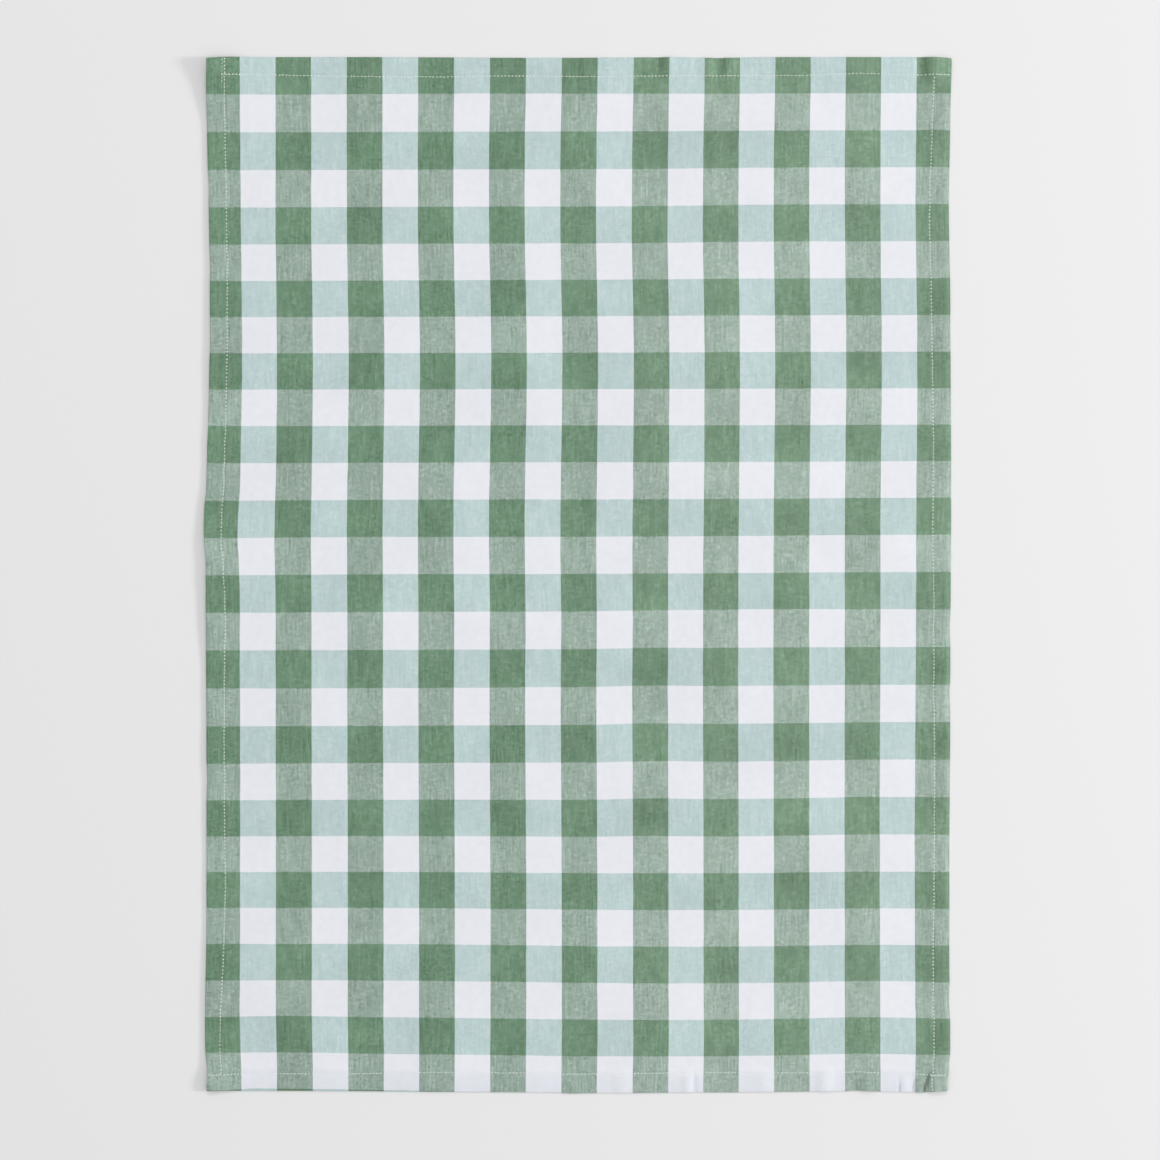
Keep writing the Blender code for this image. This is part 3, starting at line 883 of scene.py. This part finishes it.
def cotton_weave():
    """The gingham's colour and its surface, from the cloth's own coordinates."""
    tree = cotton.node_tree
    place = places_on(tree, "weave")
    across, along = place

    # No yarn runs quite straight.
    sway_x = times(tree, across, WANDERS_BETWEEN_YARNS)
    sway = noise_at(tree, sway_x, times(tree, along, WANDERS_ALONG_A_YARN), detail=2.0)
    heave_x = times(tree, across, WANDERS_ALONG_A_YARN)
    heave = noise_at(tree, heave_x, times(tree, along, -WANDERS_BETWEEN_YARNS), detail=2.0)
    warp_across = reckon(tree, "MULTIPLY_ADD", sway, YARN_WANDER, across)
    weft_along = reckon(tree, "MULTIPLY_ADD", heave, YARN_WANDER, along)
    from_first_warp = reckon(tree, "SUBTRACT", warp_across, FIRST_WARP_STRIPE)
    from_first_weft = reckon(tree, "SUBTRACT", FIRST_WEFT_STRIPE, weft_along)
    warp_count = counted_in(tree, from_first_warp, WARP_STRIPE / WARP_YARNS)
    weft_count = counted_in(tree, from_first_weft, WEFT_STRIPE / WEFT_YARNS)
    warp_yarn = reckon(tree, "FLOOR", warp_count)
    weft_yarn = reckon(tree, "FLOOR", weft_count)
    across_warp = reckon(tree, "FRACT", warp_count)
    across_weft = reckon(tree, "FRACT", weft_count)

    # Every second stripe of the warp is green, and of the weft blue-green.
    green = every_second(tree, warp_yarn, WARP_YARNS)
    aqua = every_second(tree, weft_yarn, WEFT_YARNS)

    # Plain weave: over one, under one. Thick places in a yarn cover more of the one it crosses.
    over = reckon(tree, "FLOORED_MODULO", reckon(tree, "ADD", warp_yarn, weft_yarn), 2.0)
    along_streak = counted_in(tree, along, WARP_STREAK_LENGTH)
    along_slub = counted_in(tree, along, WARP_SLUB_LENGTH)
    across_streak = counted_in(tree, across, WEFT_STREAK_LENGTH)
    warp_streak = noise_at(tree, times(tree, warp_yarn, WARP_STREAK_STEP), along_streak, detail=1.0)
    warp_slub = noise_at(tree, times(tree, warp_yarn, WARP_SLUB_STEP), along_slub)
    weft_streak = noise_at(tree, across_streak, times(tree, weft_yarn, WEFT_STREAK_STEP), detail=1.0)
    warp_here = times(tree, warp_yarn, CROSSING_WARP_STEP)
    crossing = noise_at(tree, warp_here, times(tree, weft_yarn, CROSSING_WEFT_STEP))
    cover = reckon(tree, "MULTIPLY_ADD", over, COVER_WARP_OVER - COVER_WEFT_OVER, COVER_WEFT_OVER)
    cover = reckon(tree, "MULTIPLY_ADD", warp_streak, WARP_STREAK, cover)
    cover = reckon(tree, "MULTIPLY_ADD", warp_slub, WARP_SLUB, cover)
    cover = reckon(tree, "MULTIPLY_ADD", weft_streak, -WEFT_STREAK, cover)
    cover = reckon(tree, "MULTIPLY_ADD", crossing, LOOSE_CROSSING, cover)

    # The colour of the yarn that lies uppermost, for each kind of cell.
    uppermost = []
    for cell in (WEFT_UP, WARP_UP):
        on_white_warp = between(tree, aqua, cell.white, cell.pale)
        on_green_warp = between(tree, aqua, cell.heather, cell.green)
        uppermost.append(between(tree, green, on_white_warp, on_green_warp))
    colour = between(tree, cover, *uppermost)

    # The painted light on the green at the right, and what the bottom hem lets through.
    painted_light = times(tree, green, smooth_step(tree, across, PAINTED_LIGHT_FROM, PAINTED_LIGHT_FULLY))
    colour = tinted(tree, "ADD", painted_light, colour, PAINTED_LIGHT_TO_THE_RIGHT)
    in_bottom_hem = smooth_step(tree, times(tree, along, -1.0), HEM_SHOWS_FROM, HEM_SHOWS_FULLY)
    not_hidden = reckon(tree, "MULTIPLY_ADD", green, -GREEN_HIDES_IT, 1.0)
    showing = times(tree, in_bottom_hem, not_hidden)
    colour = tinted(tree, "MULTIPLY", showing, colour, HEM_SHOWING_THROUGH)

    # Dyed yarn takes the colour unevenly, and all the cloth is a little mottled.
    along_shade = counted_in(tree, along, WARP_SHADE_LENGTH)
    warp_shade = noise_at(tree, times(tree, warp_yarn, WARP_SHADE_STEP), along_shade, detail=1.0)
    fleck = noise_over(tree, place, FLECK_WIDTH, FLECK_LENGTH)
    patch = noise_over(tree, place, PATCH_WIDTH, PATCH_LENGTH)
    broad_patch = noise_over(tree, place, BROAD_PATCH_SIZE, BROAD_PATCH_SIZE, detail=0.0)
    mottle = noise_over(tree, place, MOTTLE_SIZE, MOTTLE_SIZE)
    uneven = times(tree, fleck, FLECK)
    uneven = reckon(tree, "MULTIPLY_ADD", warp_shade, WARP_SHADE, uneven)
    dyed = reckon(tree, "MAXIMUM", green, times(tree, aqua, FLECKED_AQUA))
    shade = reckon(tree, "MULTIPLY_ADD", uneven, dyed, 1.0)
    patchy = times(tree, broad_patch, BROAD_PATCH)
    patchy = reckon(tree, "MULTIPLY_ADD", patch, PATCH, patchy)
    patchy_green = reckon(tree, "MULTIPLY_ADD", aqua, 1.0 - PATCHY_GREEN, PATCHY_GREEN)
    patchy_green = times(tree, green, patchy_green)
    patchy_dyes = reckon(tree, "MAXIMUM", patchy_green, times(tree, aqua, PATCHY_AQUA))
    patchy_yarn = reckon(tree, "MAXIMUM", patchy_dyes, PATCHY_WHITE)
    shade = reckon(tree, "MULTIPLY_ADD", patchy, patchy_yarn, shade)
    shade = reckon(tree, "MULTIPLY_ADD", mottle, MOTTLE, shade)

    # Painted shade: the hollows between yarns are a little darker than the yarns' tops.
    warp_dome = reckon(tree, "SINE", times(tree, across_warp, math.pi))
    weft_dome = reckon(tree, "SINE", times(tree, across_weft, math.pi))
    both_domes = times(tree, warp_dome, weft_dome)
    painted_yarn_shade = reckon(tree, "MULTIPLY_ADD", both_domes, PAINTED_YARN_TOP_LIGHT, PAINTED_HOLLOW_SHADE)
    shade = times(tree, shade, painted_yarn_shade)
    grey = tree.nodes.new("ShaderNodeCombineColor")
    for socket in grey.inputs:
        tree.links.new(shade, socket)
    colour = tinted(tree, "MULTIPLY", 1.0, colour, grey.outputs[0])
    # Painted shade and painted light over the hems, from the patches above, as a tint on the colour.
    painted_shade_here = places_on(tree, "dye")[0]
    strength = between(tree, painted_shade_here, DEEPEST_PAINTED_SHADE, (1.0, 1.0, 1.0))
    colour = tinted(tree, "MULTIPLY", 1.0, colour, strength)
    tree.links.new(colour, cotton_shader.inputs["Base Color"])

    # Each yarn is a low dome that dips where it passes under the next.
    warp_top = times(tree, warp_dome, reckon(tree, "MULTIPLY_ADD", weft_dome, YARN_DIP, 1.0 - YARN_DIP))
    weft_top = times(tree, weft_dome, reckon(tree, "MULTIPLY_ADD", warp_dome, YARN_DIP, 1.0 - YARN_DIP))
    warp_higher = times(tree, over, reckon(tree, "SUBTRACT", warp_top, weft_top))
    dome = reckon(tree, "ADD", weft_top, warp_higher)
    relief = reckon(tree, "MULTIPLY_ADD", warp_streak, STREAK_RELIEF, dome)
    roughen(tree, cotton_shader, relief, RELIEF_STRENGTH, RELIEF_DEPTH)
    rough = reckon(tree, "MULTIPLY_ADD", fleck, FLECK_ROUGHNESS, COTTON_ROUGHNESS)
    tree.links.new(rough, cotton_shader.inputs["Roughness"])


cotton_weave()
cotton_shader.inputs["Specular IOR Level"].default_value = 0.25
cotton_shader.inputs["Sheen Weight"].default_value = 0.10
cotton_shader.inputs["Sheen Roughness"].default_value = 0.55
cloth_mesh.materials.append(cotton)

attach(cloth, "root")
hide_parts("towel_cloth")


# -----------------------------------------------------------------------
# The sewing thread. One row of machine lockstitch along each hem in off-white cotton thread, sewn
# through all its layers, the side hems before the ends. Each stitch dips into the cloth at its ends.

STITCH_PITCH = 0.00240
STITCH_SLANT = 0.00035
THREAD_RISE = 0.00016
THREAD_SINK = 0.00040
THREAD_SIDES = 6
THREAD_RINGS = 6

# How full a stitch's arch is, and how thick the thread is at its ends and upwards, as shares.
ARCH_FULLNESS = 0.6
THREAD_AT_ENDS = 0.55
THREAD_FLATNESS = 0.8

# No two stitches are alike: the most that each is shifted along, in pitches, slanted and moved
# aside, and how tight or loose it is.
PITCH_SHAKE = 0.10
SLANT_SHAKE = 0.4
ASIDE_SHAKE = 0.00014
TIGHTEST = 0.55
LOOSEST = 1.3

# A row runs along one side between two places along it, this far aside of the seam's middle. The
# side hems were sewn at a looser tension, so that their stitches are fuller and rounder. The short
# rows are the stitches sewn back at both top corners and at the bottom right.
StitchRow = namedtuple("StitchRow", "side start end aside radius length")
STITCH_ROWS = (
    StitchRow("left", -0.33525, 0.34785, 0.0, 0.00046, 0.00112),
    StitchRow("right", -0.34625, 0.33525, 0.0, 0.00046, 0.00112),
    StitchRow("top", -0.23750, 0.24850, 0.0, 0.00034, 0.00140),
    StitchRow("bottom", -0.24850, 0.24850, 0.0, 0.00033, 0.00140),
    StitchRow("left", 0.33025, 0.34665, -0.0017, 0.00026, 0.00130),
    StitchRow("top", -0.23950, -0.22550, 0.0004, 0.00022, 0.00180),
    StitchRow("top", 0.23870, 0.24910, 0.0002, 0.00022, 0.00200),
    StitchRow("bottom", 0.23650, 0.24700, -0.0004, 0.00024, 0.00200),
)


def on_seam(side, along, aside):
    """A place on a row of stitches, with how far it lies aside of the row, towards the middle."""
    inset = seam_inset(side, along) + aside
    outwards = 1 if side in ("right", "top") else -1
    if side in ("left", "right"):
        return outwards * (TOWEL_WIDTH / 2 - inset), along
    return along, outwards * (TOWEL_LENGTH / 2 - inset)


def stitches(row, under, shaker):
    """The points of one row's stitches, [stitch, ring, side of the thread, x y z]."""
    count = round((row.end - row.start) / STITCH_PITCH)
    pitch = (row.end - row.start) / count
    starts = row.start + pitch * (np.arange(count) + shaker.uniform(-PITCH_SHAKE, PITCH_SHAKE, count))
    share = np.linspace(0, 1, THREAD_RINGS)
    along = starts[:, None] + row.length * share[None, :]
    slant = STITCH_SLANT * (1 + shaker.uniform(-SLANT_SHAKE, SLANT_SHAKE, count))
    slant = slant[:, None] * (share[None, :] - 0.5)
    wander = row.aside + shaker.uniform(-ASIDE_SHAKE, ASIDE_SHAKE, count)[:, None]
    tightness = shaker.uniform(TIGHTEST, LOOSEST, count)[:, None]
    x, y = on_seam(row.side, along, wander + (-slant if under else slant))
    arch = np.sin(np.pi * share) ** ARCH_FULLNESS
    surface = underside(x, y) if under else face(x, y)
    height = THREAD_RISE * tightness * arch - THREAD_SINK * (1 - arch)
    z = surface - height if under else surface + height
    x, y = in_plan(x, y)
    middle = np.stack([x - off_centre[0], y - off_centre[1], z], axis=-1)
    direction = middle[:, -1] - middle[:, 0]
    direction = direction / np.linalg.norm(direction, axis=-1, keepdims=True)
    aside = np.stack([-direction[:, 1], direction[:, 0], 0 * direction[:, 0]], axis=-1)
    radius = row.radius * (THREAD_AT_ENDS + (1 - THREAD_AT_ENDS) * arch)
    turn = 2 * np.pi * np.arange(THREAD_SIDES) / THREAD_SIDES
    sideways = aside[:, None, None, :] * np.cos(turn)[None, None, :, None]
    upwards = np.array([0.0, 0.0, 1.0]) * np.sin(turn)[None, None, :, None]
    surface_points = radius[None, :, None, None] * (sideways + THREAD_FLATNESS * upwards)
    return middle[:, :, None, :] + surface_points


shaker = np.random.default_rng(24)
rows_of_points = [stitches(row, under, shaker) for under in (False, True) for row in STITCH_ROWS]
stitch_points = np.concatenate(rows_of_points)
stitch_count = len(stitch_points)
stitch_number = np.arange(stitch_count * THREAD_RINGS * THREAD_SIDES)
stitch_number = stitch_number.reshape(stitch_count, THREAD_RINGS, THREAD_SIDES)
round_on = np.roll(stitch_number, -1, axis=2)
tube_quads = np.stack(
    [stitch_number[:, :-1], round_on[:, :-1], round_on[:, 1:], stitch_number[:, 1:]], axis=-1
).reshape(-1, 4)
start_caps = stitch_number[:, 0, ::-1]
end_caps = stitch_number[:, -1, :]
thread_mesh = bpy.data.meshes.new("hem_stitching")
thread_faces = tube_quads.tolist() + start_caps.tolist() + end_caps.tolist()
thread_mesh.from_pydata(stitch_points.reshape(-1, 3).tolist(), [], thread_faces)
thread_mesh.shade_smooth()

# The plies' own map: how far along its stitch each point is, and how far round the thread.
along_thread = np.linspace(0, 1, THREAD_RINGS)[None, :, None]
round_thread = np.arange(THREAD_SIDES)[None, None, :] / THREAD_SIDES
ring_share = np.broadcast_to(along_thread, stitch_number.shape).reshape(-1)
side_share = np.broadcast_to(round_thread, stitch_number.shape).reshape(-1)
thread_corners = np.array([corner for one in thread_faces for corner in one])
add_map(thread_mesh, "ply", ring_share[thread_corners], side_share[thread_corners])
stitching = in_scene("hem_stitching", thread_mesh)

THREAD_COLOUR = (0.880, 0.925, 0.880)
# Painted shade: the colour of the grooves where the thread's plies meet.
PAINTED_PLY_SHADE = (0.700, 0.760, 0.700)
PLY_TURNS = 5.0
PLIES = 3
PLY_RELIEF_STRENGTH = 0.5
PLY_RELIEF_DEPTH = 0.00004

thread, thread_shader = new_material("off_white_thread")


def twisted_thread():
    """Three plies twisted together, with painted shade where they meet."""
    tree = thread.node_tree
    along_stitch, round_stitch = places_on(tree, "ply")
    twist = reckon(tree, "MULTIPLY_ADD", along_stitch, PLY_TURNS, round_stitch)
    wave = reckon(tree, "ABSOLUTE", reckon(tree, "SINE", times(tree, twist, PLIES * math.pi)))
    colour = between(tree, wave, PAINTED_PLY_SHADE, THREAD_COLOUR)
    tree.links.new(colour, thread_shader.inputs["Base Color"])
    roughen(tree, thread_shader, wave, PLY_RELIEF_STRENGTH, PLY_RELIEF_DEPTH)


twisted_thread()
thread_shader.inputs["Roughness"].default_value = 0.62
thread_shader.inputs["Sheen Weight"].default_value = 0.10
thread_mesh.materials.append(thread)

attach(stitching, "root")


# -----------------------------------------------------------------------
# The surface that the towel lies on, which isn't part of it: a plain pale studio floor. A large
# soft lamp stands low on the towel's right, another above its top end, and the rest is even light.

FLOOR_SIZE = 60.0
FLOOR_HEIGHT = -0.0001
FLOOR_COLOUR = (0.806, 0.801, 0.801)
FLOOR_ROUGHNESS = 0.9

floor_mesh = bpy.data.meshes.new("studio_floor")
half = FLOOR_SIZE / 2
floor_corners = [(-half, -half, 0), (half, -half, 0), (half, half, 0), (-half, half, 0)]
floor_mesh.from_pydata(floor_corners, [], [(0, 1, 2, 3)])
floor = in_scene("studio_floor", floor_mesh)
floor.location.z = FLOOR_HEIGHT
floor_paint, floor_shader = new_material("floor_paint")
floor_shader.inputs["Base Color"].default_value = (*FLOOR_COLOUR, 1.0)
floor_shader.inputs["Roughness"].default_value = FLOOR_ROUGHNESS
floor_shader.inputs["Specular IOR Level"].default_value = 0.0
floor_mesh.materials.append(floor_paint)

Lamp = namedtuple("Lamp", "name azimuth elevation distance width height power")
LAMPS = (
    Lamp("side_softbox", 0.0, 24.0, 4.0, 0.60, 0.75, 74.0),
    Lamp("end_softbox", 90.0, 50.0, 5.0, 2.4, 1.6, 38.0),
)
for lamp in LAMPS:
    light = bpy.data.lights.new(lamp.name, "AREA")
    light.shape = "RECTANGLE"
    light.size = lamp.width
    light.size_y = lamp.height
    light.energy = lamp.power
    softbox = in_scene(lamp.name, light)
    round_about = math.radians(lamp.azimuth)
    up = math.radians(lamp.elevation)
    softbox.location = (
        lamp.distance * math.cos(up) * math.cos(round_about),
        lamp.distance * math.cos(up) * math.sin(round_about),
        lamp.distance * math.sin(up),
    )
    softbox.rotation_euler = (math.pi / 2 - up, 0.0, round_about + math.pi / 2)

# The even light is brighter overhead than at the horizon, as in a room with a pale ceiling.
LIGHT_AT_HORIZON = (0.500, 0.501, 0.504)
LIGHT_OVERHEAD = (0.930, 0.933, 0.940)
world = bpy.data.worlds.new("studio")
bpy.context.scene.world = world
world.use_nodes = True
room = world.node_tree
direction = room.nodes.new("ShaderNodeTexCoord")
upwards = room.nodes.new("ShaderNodeSeparateXYZ")
room.links.new(direction.outputs["Generated"], upwards.inputs[0])
height = reckon(room, "MAXIMUM", upwards.outputs[2], 0.0)
light_colour = between(room, times(room, height, height), LIGHT_AT_HORIZON, LIGHT_OVERHEAD)
room.links.new(light_colour, room.nodes["Background"].inputs["Color"])
room.nodes["Background"].inputs["Strength"].default_value = 1.0

# The camera looks straight down. The picture's frame is square, and its size is the real width
# that it shows at the floor.
VIEW_CENTRE = (0.00150, -0.00315)
VIEW_SIZE = 0.7784
CAMERA_HEIGHT = 2.2

camera_lens = bpy.data.cameras.new("overhead_camera")
camera = in_scene("overhead_camera", camera_lens)
camera.location = (*VIEW_CENTRE, CAMERA_HEIGHT)
camera_lens.lens = camera_lens.sensor_width * CAMERA_HEIGHT / VIEW_SIZE
camera_lens.clip_end = 100.0
bpy.context.scene.camera = camera
bpy.context.scene.view_settings.view_transform = "Standard"
